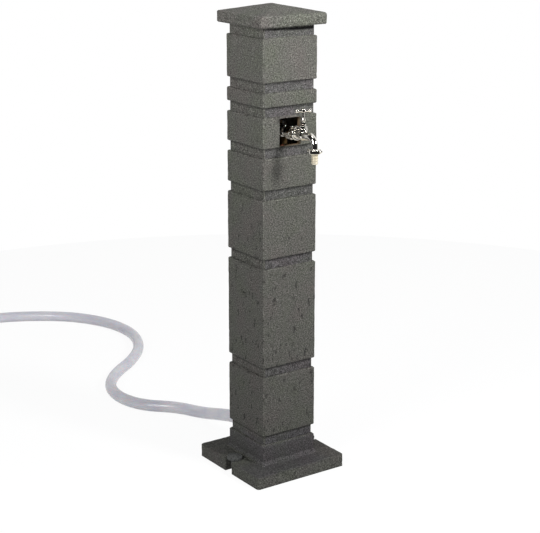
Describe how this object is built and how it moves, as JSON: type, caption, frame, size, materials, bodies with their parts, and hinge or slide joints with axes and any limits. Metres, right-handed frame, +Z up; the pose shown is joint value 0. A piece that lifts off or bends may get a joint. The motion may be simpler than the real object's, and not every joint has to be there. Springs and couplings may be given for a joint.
{
  "type": "garden tap column",
  "caption": "Free-standing garden water post in grooved granite-look stone, with a bib tap in its front opening, a pyramid cap, knobs to fix it down and a supply hose at the back.",
  "frame": {"origin": "on the ground, at the centre of the square base", "axes": "+Z up, the tap faces -Y, the supply hose leaves towards +Y"},
  "size_m": [0.4947, 1.6839, 0.969],
  "materials": {
    "stone": "cast stone, speckled dark grey granite look, matt with small pits",
    "chrome": "polished nickel-chrome plate",
    "brass": "plain machined brass",
    "copper": "plain copper pipe, slightly dull",
    "steel": "zinc plated steel",
    "rubber": "black rubber",
    "fibre": "red vulcanised fibre",
    "knob": "grey moulded plastic, dull",
    "hose": "translucent pale lilac-grey reinforced hose, glossy"
  },
  "bodies": {
    "root": {"base_plinth": "stone", "stone_post": "stone", "cap_pads": "rubber", "post_screws": "steel", "mounting_bar": "steel", "mounting_bar_screws": "steel", "wall_plate_elbow": "chrome", "wall_plate_screws": "steel", "compression_nuts": "brass", "riser_pipe": "copper", "lower_elbow": "brass", "inlet_pipe": "copper", "hose_inlet": "brass", "inlet_washer": "rubber", "inlet_locknut": "brass", "hose_clamp": "steel", "hose_clamp_screw": "steel", "tap_extension": "chrome", "union_washer": "fibre", "union_nut": "chrome", "tap_body": "chrome", "bonnet": "chrome", "gland_packing": "rubber", "gland_nut": "chrome", "hose_run": "hose", "hose_coil": "hose", "hose_ferrule": "brass", "hose_nipple": "brass"},
    "cap": {"pyramid_cap": "stone"},
    "valve": {"valve_jumper": "brass", "valve_washer": "rubber", "washer_nut": "brass"},
    "handle": {"spindle": "chrome", "tee_handle": "chrome", "handle_screw": "chrome"},
    "outlet_tail": {"hose_tail": "chrome", "outlet_washer": "rubber"},
    "outlet_union": {"outlet_nut": "chrome"},
    "knob_left": {"ground_knob_left": "knob"},
    "knob_right": {"ground_knob_right": "knob"}
  },
  "joints": [
    {"name": "cap_lift", "type": "slide", "parent": "root", "child": "cap", "axis": [0, 0, 1], "range_m": [0, 0.06]},
    {"name": "valve_lift", "type": "slide", "parent": "root", "child": "valve", "axis": [0, 0, 1], "range_m": [-0.0015, 0.0015]},
    {"name": "handle_turn", "type": "hinge", "parent": "valve", "child": "handle", "pos_m": [0, -0.108, 0.77185], "axis": [0, 0, 1], "range_deg": [-360, 360]},
    {"name": "outlet_tail_drop", "type": "slide", "parent": "root", "child": "outlet_tail", "axis": [0, 0, -1], "range_m": [0, 0.00544]},
    {"name": "outlet_nut_turn", "type": "hinge", "parent": "outlet_tail", "child": "outlet_union", "pos_m": [0, -0.146, 0.69815], "axis": [0, 0, -1], "range_deg": [0, 1080]},
    {"name": "left_knob_turn", "type": "hinge", "parent": "root", "child": "knob_left", "pos_m": [-0.094, 0, 0.031], "axis": [0, 0, 1], "continuous": true},
    {"name": "right_knob_turn", "type": "hinge", "parent": "root", "child": "knob_right", "pos_m": [0.094, 0, 0.031], "axis": [0, 0, 1], "continuous": true}
  ],
  "couplings": [
    {"joint": "handle_turn", "follows": "valve_lift", "rad_per_m": 4188.8},
    {"joint": "outlet_nut_turn", "follows": "outlet_tail_drop", "rad_per_m": 3463.7}
  ]
}
